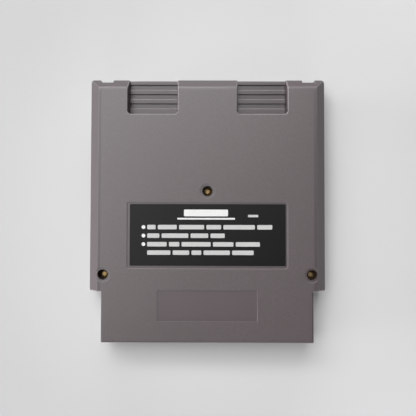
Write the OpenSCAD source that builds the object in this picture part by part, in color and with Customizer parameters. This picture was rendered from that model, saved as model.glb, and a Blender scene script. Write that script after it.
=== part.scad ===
// Game cartridge: two moulded shells, screwed together round a circuit board with edge contacts.
// It lies on its front face, back face up. X runs across it, Y from the mouth to the grip end, Z up.
// The origin is the middle of the outline, on the surface that the cartridge lies on.

/* [Body] */
// Width across the wings
body_w = 120; // [100:0.5:144]
// Length from the connector mouth to the grip end
body_l = 133.5; // [111:0.5:161]
// Thickness over both shells
body_t = 17; // [16.5:0.1:20.5]
// How far each wing stands out beside the narrow neck
wing_w = 6.7; // [6:0.1:8.2]
// Length of the neck, from the mouth to the wings
neck_l = 25.4; // [22:0.1:28]
// Plan radius of the two corners at the grip end
corner_r = 1; // [0.5:0.1:1.8]
// Width and drop of the bevel along the wings and the grip end
bevel_w = 4.8; // [3:0.1:5.6]
// Rounding of the edges of the neck
neck_edge_r = 1; // [0.4:0.1:1.6]

/* [Shell walls] */
// Wall thickness of both shells
wall = 2; // [1.7:0.1:2.4]
// Clearance between parts that fit into each other
fit_gap = 0.15; // [0.1:0.05:0.25]
// Thickness of the lip round the front shell
lip_t = 0.75; // [0.5:0.05:0.9]
// Height of the lip above the parting plane
lip_h = 1; // [0.6:0.1:1.1]
// Thickness of the inner stiffening ribs
stiffener_t = 1.2; // [0.8:0.1:1.6]
// Height of the inner stiffening ribs
stiffener_h = 2.2; // [1:0.1:3]

/* [Grip recesses] */
// Width of each recess
grip_w = 25.4; // [20:0.1:30.5]
// Length of each recess, from the grip end
grip_l = 18.3; // [15:0.1:22]
// Depth from the back face to the tops of the ridges
grip_depth = 6.3; // [4:0.1:6.4]
// Distance from the side of the cartridge to a recess
grip_side = 19.5; // [18:0.1:21]
// How much each side wall of a recess leans in over its depth
grip_draft = 0.5; // [0:0.1:1]
// Plan radius of the inner corners of a recess
grip_corner_r = 1.7; // [0.8:0.1:2.5]
// Distance from one ridge to the next
ridge_pitch = 4.85; // [4:0.05:6]
// Width that shows of the first ridge, at the grip end
first_ridge_w = 2.1; // [1.5:0.1:2.4]
// Width of a ridge
ridge_w = 2.45; // [1.6:0.05:3]
// Height of a ridge over the groove beside it
ridge_h = 0.8; // [0.3:0.1:1]
// Thickness of the recess floor under the grooves
grip_floor_t = 1.4; // [1.2:0.1:2]

/* [Notches and hooks at the grip end] */
// Width of each notch
notch_w = 6.4; // [5:0.1:7.7]
// Distance from the side of the cartridge to a notch
notch_side = 5.1; // [4:0.1:6]
// Depth of a notch into the end wall
notch_d = 1.5; // [0.8:0.1:1.5]
// How much deeper a notch is where it cuts the bevel
notch_step = 0.5; // [0:0.1:0.5]
// How far a notch runs down the front shell from the parting plane
notch_drop = 4.6; // [4:0.1:5.4]
// Width of each hook
hook_w = 5; // [3:0.1:5.2]
// Thickness of each hook
hook_t = 1.2; // [0.8:0.1:1.6]
// How far each hook reaches below the parting plane
hook_l = 3.6; // [3:0.1:4]
// Height of the barb on a hook
barb_h = 1.6; // [1:0.1:1.9]
// How far the barb stands out from its hook
barb_d = 0.6; // [0.4:0.05:0.9]

/* [Screws and bosses] */
// Distance from the mouth to the centre screw
centre_screw_y = 76; // [75:0.5:86]
// Distance from the side of the cartridge to a wing screw
wing_screw_side = 7.4; // [7:0.1:8.8]
// Distance from the lower end of a wing to its screw
wing_screw_up = 8.5; // [7:0.1:11]
// Diameter of the wells that the screws go into
well_d = 5.2; // [5:0.1:6.2]
// Diameter of the shallow ring round a well
well_ring_d = 7.2; // [6.6:0.1:8]
// Depth of the shallow ring
well_ring_depth = 0.4; // [0.2:0.1:0.8]
// Wall of the tubular bosses
boss_wall = 1.5; // [1.2:0.1:1.8]
// Thickness of the seat under a screw flange
seat_t = 1.2; // [1.2:0.1:2]
// Diameter of a screw flange
flange_d = 4.8; // [4:0.1:4.9]
// Thickness of a screw flange
flange_t = 0.7; // [0.5:0.1:1]
// Diameter of a screw head
head_d = 3; // [2.6:0.1:3.6]
// Height of a screw head over its flange
head_h = 1.3; // [1:0.1:2]
// Number of flutes round a screw head
flute_count = 6; // [4:1:8]
// Diameter of a flute
flute_d = 0.8; // [0.5:0.1:1]
// Diameter of a screw shank
shank_d = 2.6; // [2.2:0.1:2.8]
// Length of a screw under its flange
shank_l = 7; // [5:0.1:7.2]

/* [Back label and panels] */
// Width of the back label
label_w = 78.4; // [50:0.1:80]
// Length of the back label
label_l = 31; // [20:0.1:33]
// Thickness of the back label
label_t = 0.15; // [0.1:0.05:0.25]
// Distance from the mouth to the middle of the label recess
label_y = 53.7; // [50:0.1:54]
// How far the label lies off the middle of its recess
label_shift = 0.2; // [0:0.05:0.4]
// Width of the border of recess round the label
label_border = 1.15; // [0.8:0.05:1.5]
// Depth of the label recess
label_recess = 0.4; // [0.3:0.05:0.6]
// Plan radius of the label corners
label_r = 0.7; // [0.3:0.1:2]
// Width of the blank panel near the mouth
panel_w = 50; // [30:0.5:60]
// Length of the blank panel
panel_l = 15; // [10:0.5:18]
// Distance from the mouth to the middle of the blank panel
panel_y = 18.5; // [15:0.1:22]
// Depth of the blank panel
panel_recess = 0.25; // [0.1:0.05:0.5]

/* [Front face] */
// Width of the bare label field on the front
front_field_w = 71; // [50:0.5:74]
// Distance from the mouth to the lower edge of the field
front_field_y = 31; // [28:0.5:40]
// Depth of the field, also where it wraps over the grip end
front_field_recess = 0.3; // [0.2:0.05:0.5]
// Distance from the side of the cartridge to the field
front_field_side = 8; // [6.5:0.5:9]
// Number of long grooves beside the field
groove_count = 5; // [3:1:6]
// Width of a groove
groove_w = 2.2; // [1.5:0.1:2.6]
// Distance from one groove to the next
groove_pitch = 4.4; // [3.5:0.1:4.5]
// Depth of a groove
groove_d = 0.7; // [0.3:0.1:1]
// Height of the insertion arrow
arrow_l = 7; // [4:0.5:9]
// Depth of the insertion arrow
arrow_d = 0.4; // [0.2:0.1:0.6]

/* [Circuit board] */
// Thickness of the board
board_t = 1.2; // [1:0.1:1.6]
// Length of the board
board_l = 59; // [57:0.5:60.5]
// How far the board lies behind the mouth
board_setback = 10; // [8:0.5:11]
// Length of the tongue that carries the contacts
tongue_l = 13; // [12:0.5:14]
// Width of the guide blocks on both sides of the mouth
guide_w = 4.4; // [3.5:0.1:5]
// Space between the tongue and a guide block
tongue_gap = 0.8; // [0.4:0.1:1.2]
// Space between the sides of the board and the shell
board_side_gap = 2.2; // [1.8:0.1:3]
// Distance from one contact to the next
contact_pitch = 2.5; // [2:0.1:3]
// Width of a contact
contact_w = 1.7; // [1.2:0.1:1.9]
// Length of a contact
contact_l = 10; // [7:0.5:11]
// Thickness of a contact
contact_t = 0.08; // [0.05:0.01:0.15]
// Chamfer of the edge that is pushed into the console
tongue_chamfer = 0.35; // [0.2:0.05:0.45]
// Diameter of the posts that carry the board
post_d = 4.6; // [4:0.1:5]
// Diameter of the locating pins on two of the posts
pin_d = 2.4; // [2:0.1:2.8]

/* [Chips] */
// Distance from one chip leg to the next
leg_pitch = 2.54; // [2.54:0.01:2.54]
// Legs on each memory chip
rom_legs = 28; // [24:4:28]
// Distance between the two rows of legs of a memory chip
rom_row_gap = 15.24; // [15.24:0.01:15.24]
// Legs on each small chip
small_legs = 16; // [14:2:16]
// Distance between the two rows of legs of a small chip
small_row_gap = 7.62; // [7.62:0.01:7.62]
// Height of a chip body
chip_h = 3.4; // [3:0.1:3.6]
// Space under a chip body
chip_standoff = 0.5; // [0.3:0.1:0.7]
// Distance from the tongue end to the middle of the memory chips
rom_y = 44.7; // [44:0.1:45]
// Distance from the tongue end to the middle of the small chips
small_y = 23.9; // [23:0.1:25]

/* [Small components] */
// Diameter of the electrolytic capacitor
can_d = 5; // [4:0.1:5.2]
// Length of the electrolytic capacitor
can_l = 11; // [9:0.5:12]
// Diameter of the ceramic capacitors
disc_d = 4.6; // [3.5:0.1:5]
// Thickness of the ceramic capacitors
disc_t = 2; // [1.5:0.1:2.5]
// Length of a resistor body
resistor_l = 6.2; // [5:0.1:7]
// Diameter of a resistor body at its ends
resistor_d = 2.3; // [1.8:0.1:2.6]
// Diameter of the component wires
wire_d = 0.5; // [0.4:0.05:0.6]
// Diameter of the holes in the board for legs and wires
hole_d = 0.9; // [0.8:0.05:1]
// How far legs and wires stand out under the board
tail_l = 1.2; // [0.8:0.1:1.6]

/* [Hidden] */
$fn = 48;

shell_colour = "#7a7573";
board_colour = "#2f6b3c";
gold_colour = "#c9a54a";
chip_colour = "#232325";
tin_colour = "#b9bcc0";

// Past a face, so that a cut comes out clean
past = 1;
mouth_y = -body_l / 2;
end_y = body_l / 2;
wing_y = mouth_y + neck_l;
neck_w = body_w - 2 * wing_w;
split_z = body_t / 2;
wall_y = end_y - wall;

// The lip stands near the inner side of the wall, clear of the pocket's faces
lip_in = wall - fit_gap;
lip_out = lip_in - lip_t;

// Ridges of the grips, and the slab of shell that carries them
ridge_z = body_t - grip_depth;
groove_z = ridge_z - ridge_h;
slab_z = groove_z - grip_floor_t;
ridge_count = ceil(grip_l / ridge_pitch);
grip_centre_x = body_w / 2 - grip_side - grip_w / 2;
notch_centre_x = body_w / 2 - notch_side - notch_w / 2;

// Screws: the centre one first, then the two in the wings
wing_screw_x = body_w / 2 - wing_screw_side;
screw_places = [
    [0, mouth_y + centre_screw_y],
    [-wing_screw_x, wing_y + wing_screw_up],
    [wing_screw_x, wing_y + wing_screw_up]
];
boss_d = well_d + 2 * boss_wall;
seat_z = split_z + seat_t;
shank_tip_l = shank_d / 2;
screw_hole_d = shank_d + 0.4;
thread_hole_d = shank_d + 0.1;
thread_hole_z = seat_z - shank_l - 0.4;
thread_post_d = thread_hole_d + 2 * boss_wall;

// The board is centred on the parting plane, with its parts on the back side
board_y = mouth_y + board_setback;
board_end_y = board_y + board_l;
board_z = split_z - board_t / 2;
board_top = split_z + board_t / 2;
board_w = neck_w - 2 * (wall + board_side_gap);
tongue_w = neck_w - 2 * (wall + guide_w + tongue_gap);
contact_margin = 0.8;
contact_count = floor((tongue_w - 2 * contact_margin) / contact_pitch);
boss_notch_r = boss_d / 2 + 0.6;
post_inset = post_d / 2 + 0.8;
pin_hole_d = pin_d + 0.4;
pin_top_z = board_top + 1.2;
pin_places = [for (side = [-1, 1]) [side * (board_w / 2 - post_inset), board_end_y - post_inset]];
ledge_places = [
    for (side = [-1, 1]) [side * (board_w / 2 - post_inset), board_y + tongue_l + post_inset]
];

// Chips: legs leave the middle of a body's sides and go down through the board
chip_row_margin = 1.5;
chip_end_margin = 2.4;
chip_draft = 0.35;
chip_band = 0.4;
leg_w = 1.4;
leg_tip_w = 0.5;
leg_t = 0.25;
leg_z = board_top + chip_standoff + chip_h / 2;
tail_z = board_z - tail_l;
chip_notch_r = 1;
chip_notch_d = 0.6;
rom_x = board_w / 4;
rom_row_y = board_y + rom_y;
small_row_y = board_y + small_y;
lockout_x = -board_w * 0.27;
bank_switch_x = board_w * 0.06;

// Small components, with the places of their wires in the board
can_x = board_w * 0.27;
can_z = board_top + 0.3 + can_d / 2;
can_y = small_row_y + 2;
can_wire_gap = 2;
can_wire_out = 2.2;
can_wire_x = can_x - can_wire_out;
bung_l = 1.4;
disc_wire_gap = 2.54;
disc_z = board_top + 0.5 + disc_d / 2;
disc_gap = 1.3;
disc_places = [
    [lockout_x - chip_length(small_legs) / 2 - disc_gap - disc_d / 2, small_row_y + 0.5],
    [(lockout_x + bank_switch_x) / 2, small_row_y + 0.5],
    [board_w * 0.22, small_row_y + 6]
];
resistor_span = 10.16;
resistor_z = board_top + 0.2 + resistor_d / 2;
resistor_places = [
    [can_x + can_l / 2, small_row_y - 4.2],
    [can_x + can_l / 2, small_row_y - 7.6]
];
bend_r = 0.9;
joint_d = 1.6;
joint_h = 0.8;
joint_tip_d = 0.9;

function bevel_at(inset) = bevel_w - inset * (2 - sqrt(2));
function sides(legs) = legs / 2;
function chip_length(legs) = (sides(legs) - 1) * leg_pitch + chip_end_margin;
function leg_places(legs, row_gap, centre) = [
    for (side = [-1, 1], i = [0 : sides(legs) - 1])
        [centre[0] + (i - (sides(legs) - 1) / 2) * leg_pitch, centre[1] + side * row_gap / 2, side]
];
function wire_pair(place, gap) = [[place[0] - gap / 2, place[1]], [place[0] + gap / 2, place[1]]];

rom_leg_places = [
    for (side = [-1, 1]) each leg_places(rom_legs, rom_row_gap, [side * rom_x, rom_row_y])
];
small_leg_places = [
    for (x = [lockout_x, bank_switch_x]) each leg_places(small_legs, small_row_gap, [x, small_row_y])
];
wire_places = concat(
    [for (side = [-1, 1]) [can_wire_x, can_y + side * can_wire_gap / 2]],
    [for (place = disc_places) each wire_pair(place, disc_wire_gap)],
    [for (place = resistor_places) each wire_pair(place, resistor_span)]
);

// Rectangle with true round corners, centred
module rounded_plate(w, l, r) {
    square([w - 2 * r, l], center = true);
    square([w, l - 2 * r], center = true);
    for (x = [-1, 1], y = [-1, 1])
        translate([x * (w / 2 - r), y * (l / 2 - r)]) circle(r = r);
}

// Turns a section drawn in X and Z into a bar along Y
module bar_along_y(from_y, to_y) {
    translate([0, to_y, 0]) rotate([90, 0, 0]) linear_extrude(to_y - from_y) children();
}

// Turns a section drawn in Y and Z into a bar along X
module bar_along_x(from_x, to_x) {
    translate([from_x, 0, 0]) rotate([90, 0, 90]) linear_extrude(to_x - from_x) children();
}

// Plan of the wide part, moved in by inset from its three free sides and its lower end
module wide_plan(inset) {
    low = wing_y + inset;
    high = end_y - inset;
    half = body_w / 2 - inset;
    r = max(corner_r - inset, 0.2);
    translate([-half, low]) square([2 * half, high - low - r]);
    translate([-half + r, low]) square([2 * (half - r), high - low]);
    for (side = [-1, 1]) translate([side * (half - r), high - r]) circle(r = r);
}

// Plan of the whole cartridge, open past the mouth
module outline(inset) {
    wide_plan(inset);
    half = neck_w / 2 - inset;
    translate([-half, mouth_y - past]) square([2 * half, neck_l + past + 2 * wall]);
}

// Section across the wide part, bevelled on both faces
module wide_section(inset) {
    a = body_w / 2 - inset;
    b = bevel_at(inset);
    low = inset;
    high = body_t - inset;
    polygon([
        [-a, low + b], [-a + b, low], [a - b, low], [a, low + b],
        [a, high - b], [a - b, high], [-a + b, high], [-a, high - b]
    ]);
}

// Section along the wide part, bevelled at the grip end only
module wide_long_section(inset) {
    a = end_y - inset;
    b = bevel_at(inset);
    low = inset;
    high = body_t - inset;
    polygon([[wing_y - past, low], [a - b, low], [a, low + b], [a, high - b], [a - b, high], [wing_y - past, high]]);
}

// Outer form of the cartridge, or its hollow when it is moved in by the wall
module envelope(inset) {
    intersection() {
        linear_extrude(body_t) wide_plan(inset);
        bar_along_y(wing_y - past, end_y + past) wide_section(inset);
        bar_along_x(-body_w, body_w) wide_long_section(inset);
    }
}

module neck() {
    intersection() {
        bar_along_y(mouth_y, wing_y + wall) translate([0, split_z]) rounded_plate(neck_w, body_t, neck_edge_r);
        bar_along_x(-body_w, body_w)
            translate([mouth_y + neck_l, split_z]) rounded_plate(2 * neck_l, body_t, neck_edge_r);
    }
}

module outer_form() {
    envelope(0);
    neck();
}

module hollow() {
    envelope(wall);
    half = neck_w / 2 - wall;
    translate([-half, mouth_y - past, wall]) cube([2 * half, neck_l + past + 2 * wall, body_t - 2 * wall]);
}

module back_half() {
    translate([-body_w, -body_l, split_z]) cube([2 * body_w, 2 * body_l, body_t]);
}

module front_half() {
    translate([-body_w, -body_l, split_z - body_t]) cube([2 * body_w, 2 * body_l, body_t]);
}

// Ring of the lip in plan. It stops at the mouth and at the notches.
module lip_ring(out, in, spare) {
    difference() {
        outline(out);
        outline(in);
        translate([-body_w, mouth_y - 2 * past]) square([2 * body_w, 2 * past + 2 * wall - spare]);
        for (side = [-1, 1])
            translate([side * notch_centre_x, end_y])
                square([notch_w + 2 * wall - 2 * spare, 3 * wall], center = true);
    }
}

// Blocks on both sides of the mouth, which guide the board's tongue
module mouth_guides() {
    reach = tongue_l + board_setback - 2 * fit_gap - 0.5;
    for (side = [-1, 1])
        translate([side * (neck_w / 2 - wall / 2 - guide_w / 2), mouth_y + reach / 2 + neck_edge_r, split_z])
            cube([guide_w + wall, reach - 2 * neck_edge_r, body_t - 2 * wall + wall / 2], center = true);
}

// One grip recess, cut from the back face and open at the grip end
module grip_recess() {
    low = end_y - grip_l;
    top_half = grip_w / 2;
    floor_half = top_half - grip_draft;
    intersection() {
        translate([0, low + grip_l, groove_z])
            linear_extrude(body_t) rounded_plate(grip_w, 2 * grip_l, grip_corner_r);
        bar_along_y(low - past, end_y + past)
            polygon([
                [-floor_half, groove_z], [floor_half, groove_z],
                [top_half, body_t], [top_half, body_t + past], [-top_half, body_t + past], [-top_half, body_t]
            ]);
    }
}

// Ridges across the floor of one recess, the first one at the grip end
module grip_ridges() {
    for (i = [0 : ridge_count - 1])
        translate([-grip_w / 2, end_y - i * ridge_pitch - first_ridge_w, groove_z - grip_floor_t / 2])
            cube([grip_w, ridge_w, ridge_h + grip_floor_t / 2]);
}

module grips() {
    for (side = [-1, 1]) translate([side * grip_centre_x, 0, 0]) difference() {
        grip_recess();
        intersection() {
            grip_ridges();
            translate([-grip_w, end_y - grip_l, 0]) cube([2 * grip_w, grip_l, body_t]);
        }
    }
}

// Solid shell round the recesses: a wall on each side and a slab under the floor
module grip_surround() {
    for (side = [-1, 1])
        translate([side * grip_centre_x - grip_w / 2 - wall, end_y - grip_l - wall, slab_z])
            cube([grip_w + 2 * wall, grip_l + wall, body_t]);
}

module notches(low_z) {
    for (side = [-1, 1]) translate([side * notch_centre_x - notch_w / 2, end_y - notch_d, 0]) {
        translate([0, 0, low_z]) cube([notch_w, notch_d + past, body_t + past]);
        translate([0, -notch_step, body_t - bevel_w]) cube([notch_w, notch_d + past, body_t]);
    }
}

// Hooks behind the notches, hanging from the back shell into the front one
module hooks() {
    back = wall_y - fit_gap - hook_t;
    front = wall_y - fit_gap;
    tip_z = split_z - hook_l;
    barb_z = tip_z + barb_h;
    for (side = [-1, 1])
        bar_along_x(side * notch_centre_x - hook_w / 2, side * notch_centre_x + hook_w / 2)
            polygon([
                [back, body_t - wall / 2 - bevel_w / 2], [back, tip_z], [front, tip_z],
                [front + barb_d, barb_z - 0.5], [front + barb_d, barb_z], [front, barb_z],
                [front, split_z], [wall_y + wall / 4, split_z],
                [wall_y + wall / 4, body_t - wall / 2 - bevel_w]
            ]);
}

// Windows in the front shell's end wall, where the barbs catch
module hook_windows() {
    low = split_z - hook_l - fit_gap;
    for (side = [-1, 1])
        translate([side * notch_centre_x, end_y - wall / 2, low + (barb_h + 2 * fit_gap) / 2])
            cube([hook_w + 2 * fit_gap, 2 * wall, barb_h + 2 * fit_gap], center = true);
}

module screw_wells() {
    for (place = screw_places) translate([place[0], place[1], 0]) {
        translate([0, 0, seat_z]) cylinder(d = well_d, h = body_t);
        translate([0, 0, body_t - well_ring_depth]) cylinder(d = well_ring_d, h = body_t);
        cylinder(d = screw_hole_d, h = body_t);
    }
}

// Crossed ribs inside the upper part of a shell, beyond the board
module stiffeners(low_z) {
    low = mouth_y + centre_screw_y;
    high = end_y - grip_l - wall;
    for (x = [-grip_centre_x, 0, grip_centre_x])
        translate([x - stiffener_t / 2, low, low_z]) cube([stiffener_t, high - low, stiffener_h]);
    translate([-body_w / 2 + wall / 2, low - stiffener_t / 2, low_z])
        cube([body_w - wall, stiffener_t, stiffener_h]);
}

module back_shell() {
    color(shell_colour) difference() {
        union() {
            difference() {
                intersection() {
                    outer_form();
                    back_half();
                }
                difference() {
                    hollow();
                    grip_surround();
                }
            }
            intersection() {
                union() {
                    envelope(wall / 2);
                    translate([-neck_w / 2 + wall / 2, mouth_y, 0])
                        cube([neck_w - wall, neck_l + wall, body_t - wall / 2]);
                }
                back_half();
                union() {
                    for (place = screw_places)
                        translate([place[0], place[1], split_z]) cylinder(d = boss_d, h = body_t);
                    for (place = concat(pin_places, ledge_places))
                        translate([place[0], place[1], board_top + fit_gap]) cylinder(d = post_d, h = body_t);
                    mouth_guides();
                    stiffeners(body_t - wall - stiffener_h);
                }
            }
            hooks();
        }
        screw_wells();
        grips();
        notches(split_z - past);
        translate([0, 0, split_z - past])
            linear_extrude(past + lip_h + fit_gap) lip_ring(lip_out - fit_gap, wall, fit_gap);
        for (place = pin_places)
            translate([place[0], place[1], split_z]) cylinder(d = pin_hole_d, h = pin_top_z + fit_gap - split_z);
        translate([0, mouth_y + label_y, body_t - label_recess])
            linear_extrude(body_t)
                rounded_plate(label_w + 2 * label_border, label_l + 2 * label_border, label_r + label_border / 2);
        translate([-panel_w / 2, mouth_y + panel_y - panel_l / 2, body_t - panel_recess])
            cube([panel_w, panel_l, body_t]);
    }
}

// Bare field for a front label, which wraps over the bevel and the grip end
module front_field() {
    translate([-body_w / 2 + front_field_side, mouth_y + front_field_y, -past])
        cube([front_field_w, body_l, split_z - lip_h + past]);
}

module front_grooves() {
    start = body_w / 2 - front_field_side;
    for (i = [0 : groove_count - 1])
        translate([start - i * groove_pitch - groove_w, mouth_y + front_field_y, -past])
            cube([groove_w, body_l, past + groove_d]);
}

// Triangle that points towards the mouth
module arrow() {
    translate([0, mouth_y + neck_l / 2, -past])
        linear_extrude(past + arrow_d)
            polygon([[-arrow_l / 2, arrow_l / 2], [arrow_l / 2, arrow_l / 2], [0, -arrow_l / 2]]);
}

module front_shell() {
    color(shell_colour) difference() {
        union() {
            difference() {
                intersection() {
                    outer_form();
                    front_half();
                }
                hollow();
                difference() {
                    front_field();
                    envelope(front_field_recess);
                }
                front_grooves();
                arrow();
            }
            intersection() {
                translate([-body_w / 2 + wall / 2, mouth_y, wall / 2 + groove_d / 2])
                    cube([body_w - wall, body_l - wall / 2, body_t]);
                union() {
                    intersection() {
                        union() {
                            envelope(wall / 2 + groove_d / 2);
                            translate([-neck_w / 2 + wall / 2, mouth_y, wall / 2])
                                cube([neck_w - wall, neck_l + wall, body_t]);
                        }
                        front_half();
                        union() {
                            for (place = screw_places)
                                translate([place[0], place[1], 0]) cylinder(d = thread_post_d, h = split_z);
                            for (place = concat(pin_places, ledge_places))
                                translate([place[0], place[1], 0]) cylinder(d = post_d, h = board_z);
                            mouth_guides();
                            stiffeners(wall);
                        }
                    }
                    for (place = pin_places)
                        translate([place[0], place[1], wall]) cylinder(d = pin_d, h = pin_top_z - wall);
                }
            }
            translate([0, 0, split_z - lip_h])
                linear_extrude(2 * lip_h) lip_ring(lip_out, lip_in, 0);
        }
        for (place = screw_places)
            translate([place[0], place[1], thread_hole_z]) cylinder(d = thread_hole_d, h = body_t);
        notches(split_z - notch_drop);
        hook_windows();
    }
}

// One security screw, its seat at the origin
module case_screw() {
    difference() {
        rotate_extrude() polygon([
            [0, -shank_l], [shank_d / 4, -shank_l], [shank_d / 2, -shank_l + shank_tip_l], [shank_d / 2, 0],
            [flange_d / 2, 0], [flange_d / 2, flange_t], [head_d / 2, flange_t],
            [head_d / 2, flange_t + head_h * 0.8], [head_d / 2 - head_h * 0.2, flange_t + head_h],
            [0, flange_t + head_h]
        ]);
        for (i = [0 : flute_count - 1])
            rotate([0, 0, i * 360 / flute_count])
                translate([head_d / 2, 0, flange_t]) cylinder(d = flute_d, h = head_h + past);
    }
}

module case_screws() {
    color(gold_colour)
        for (place = screw_places) translate([place[0], place[1], seat_z]) case_screw();
}

module back_label() {
    color("#1d1d1d")
        translate([label_shift, mouth_y + label_y + label_shift, body_t - label_recess])
            linear_extrude(label_t) rounded_plate(label_w, label_l, label_r);
}

module circuit_board() {
    tongue_end = board_y + tongue_l;
    color(board_colour) intersection() {
        translate([0, 0, board_z]) linear_extrude(board_t) difference() {
            union() {
                translate([-tongue_w / 2, board_y]) square([tongue_w, tongue_l + 2]);
                translate([-board_w / 2, tongue_end]) square([board_w, board_l - tongue_l]);
            }
            for (place = screw_places) translate(place) circle(r = boss_notch_r);
            for (place = pin_places) translate(place) circle(d = pin_hole_d);
            for (place = concat(rom_leg_places, small_leg_places, wire_places))
                translate([place[0], place[1]]) circle(d = hole_d);
        }
        bar_along_x(-body_w, body_w) polygon([
            [board_y, board_z + tongue_chamfer], [board_y + 2 * tongue_chamfer, board_z],
            [board_end_y + past, board_z], [board_end_y + past, board_top],
            [board_y + 2 * tongue_chamfer, board_top], [board_y, board_top - tongue_chamfer]
        ]);
    }
}

// A row of flat contacts along the tongue, on the face at height z
module contact_row(z) {
    start = -(contact_count - 1) / 2 * contact_pitch;
    for (i = [0 : contact_count - 1])
        translate([start + i * contact_pitch - contact_w / 2, board_y + 2 * tongue_chamfer, z])
            cube([contact_w, contact_l, contact_t]);
}

module back_contacts() {
    color(gold_colour) contact_row(board_top);
}

module front_contacts() {
    color(gold_colour) contact_row(board_z - contact_t);
}

// Moulded body of a chip, with the half-round notch that marks its first leg
module chip_body(legs, row_gap, centre) {
    l = chip_length(legs);
    w = row_gap - chip_row_margin;
    half_h = chip_h / 2;
    translate([centre[0], centre[1], leg_z]) difference() {
        intersection() {
            bar_along_x(-l / 2, l / 2) polygon([
                [-w / 2, -chip_band / 2], [-w / 2 + chip_draft, -half_h], [w / 2 - chip_draft, -half_h],
                [w / 2, -chip_band / 2], [w / 2, chip_band / 2], [w / 2 - chip_draft, half_h],
                [-w / 2 + chip_draft, half_h], [-w / 2, chip_band / 2]
            ]);
            bar_along_y(-w / 2, w / 2) polygon([
                [-l / 2, 0], [-l / 2 + chip_draft, -half_h], [l / 2 - chip_draft, -half_h],
                [l / 2, 0], [l / 2 - chip_draft, half_h], [-l / 2 + chip_draft, half_h]
            ]);
        }
        translate([-l / 2, 0, half_h - chip_notch_d]) cylinder(r = chip_notch_r, h = chip_h);
    }
}

// Bent legs of a chip: the strip seen from the end, cut to the leg's width seen from the side
module chip_legs(legs, row_gap) {
    inner = chip_row_margin / 2;
    half_t = leg_t / 2;
    bend = leg_t;
    for (place = legs)
        translate([place[0], place[1], 0]) rotate([0, 0, place[2] > 0 ? 0 : 180]) intersection() {
            bar_along_x(-leg_w / 2, leg_w / 2) polygon([
                [-inner, leg_z - half_t], [-half_t - bend, leg_z - half_t], [-half_t, leg_z - half_t - bend],
                [-half_t, tail_z], [half_t, tail_z], [half_t, leg_z - bend],
                [half_t - bend, leg_z + half_t], [-inner, leg_z + half_t]
            ]);
            bar_along_y(-row_gap, row_gap) polygon([
                [-leg_w / 2, leg_z + leg_t], [-leg_w / 2, board_top + chip_standoff],
                [-leg_tip_w / 2, board_top + chip_standoff / 2], [-leg_tip_w / 2, tail_z],
                [leg_tip_w / 2, tail_z], [leg_tip_w / 2, board_top + chip_standoff / 2],
                [leg_w / 2, board_top + chip_standoff], [leg_w / 2, leg_z + leg_t]
            ]);
        }
}

module program_rom() {
    color(chip_colour) chip_body(rom_legs, rom_row_gap, [rom_x, rom_row_y]);
}

module program_rom_legs() {
    color(tin_colour) chip_legs(leg_places(rom_legs, rom_row_gap, [rom_x, rom_row_y]), rom_row_gap);
}

module graphics_rom() {
    color(chip_colour) chip_body(rom_legs, rom_row_gap, [-rom_x, rom_row_y]);
}

module graphics_rom_legs() {
    color(tin_colour) chip_legs(leg_places(rom_legs, rom_row_gap, [-rom_x, rom_row_y]), rom_row_gap);
}

module lockout_chip() {
    color(chip_colour) chip_body(small_legs, small_row_gap, [lockout_x, small_row_y]);
}

module lockout_chip_legs() {
    color(tin_colour) chip_legs(leg_places(small_legs, small_row_gap, [lockout_x, small_row_y]), small_row_gap);
}

module bank_switch_chip() {
    color(chip_colour) chip_body(small_legs, small_row_gap, [bank_switch_x, small_row_y]);
}

module bank_switch_chip_legs() {
    color(tin_colour)
        chip_legs(leg_places(small_legs, small_row_gap, [bank_switch_x, small_row_y]), small_row_gap);
}

// Wire that leaves a component along X, bends down and goes through the board. It starts at its bend.
module bent_wire(reach, z) {
    translate([-reach, 0, z]) rotate([0, 90, 0]) cylinder(d = wire_d, h = reach - bend_r);
    translate([-bend_r, 0, z - bend_r]) rotate([90, 0, 0]) rotate_extrude(angle = 90)
        translate([bend_r, 0]) circle(d = wire_d);
    translate([0, 0, tail_z]) cylinder(d = wire_d, h = z - bend_r - tail_z);
}

// Can of the electrolytic capacitor, lying along X, with the rolled groove near its open end
module electrolytic_can() {
    rim = 0.3;
    groove_at = bung_l + 0.8;
    color("#274a8c") translate([can_x, can_y, can_z]) rotate([0, 90, 0]) rotate_extrude() polygon([
        [can_d / 2 - rim, 0], [can_d / 2, 0], [can_d / 2, groove_at - rim], [can_d / 2 - rim, groove_at],
        [can_d / 2, groove_at + rim], [can_d / 2, can_l - rim], [can_d / 2 - rim, can_l], [0, can_l],
        [0, bung_l], [can_d / 2 - rim, bung_l]
    ]);
}

module electrolytic_bung() {
    color("#2b2b2b") translate([can_x, can_y, can_z]) rotate([0, 90, 0])
        cylinder(d = can_d - 0.6, h = bung_l);
}

module electrolytic_wires() {
    color(tin_colour) for (side = [-1, 1])
        translate([can_wire_x, can_y + side * can_wire_gap / 2, 0]) rotate([0, 0, 180])
            bent_wire(can_wire_out, can_z);
}

module capacitor_disc() {
    edge = disc_t / 4;
    rotate([90, 0, 0]) translate([0, 0, -disc_t / 2]) rotate_extrude() polygon([
        [0, 0], [disc_d / 2 - edge, 0], [disc_d / 2, edge],
        [disc_d / 2, disc_t - edge], [disc_d / 2 - edge, disc_t], [0, disc_t]
    ]);
}

module ceramic_capacitors() {
    color("#c47a2c") for (place = disc_places) translate([place[0], place[1], disc_z]) capacitor_disc();
}

module ceramic_capacitor_wires() {
    color(tin_colour) for (place = disc_places) difference() {
        for (wire = wire_pair(place, disc_wire_gap))
            translate([wire[0], wire[1], tail_z]) cylinder(d = wire_d, h = disc_z - tail_z - disc_d / 4);
        translate([place[0], place[1], disc_z]) capacitor_disc();
    }
}

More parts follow.
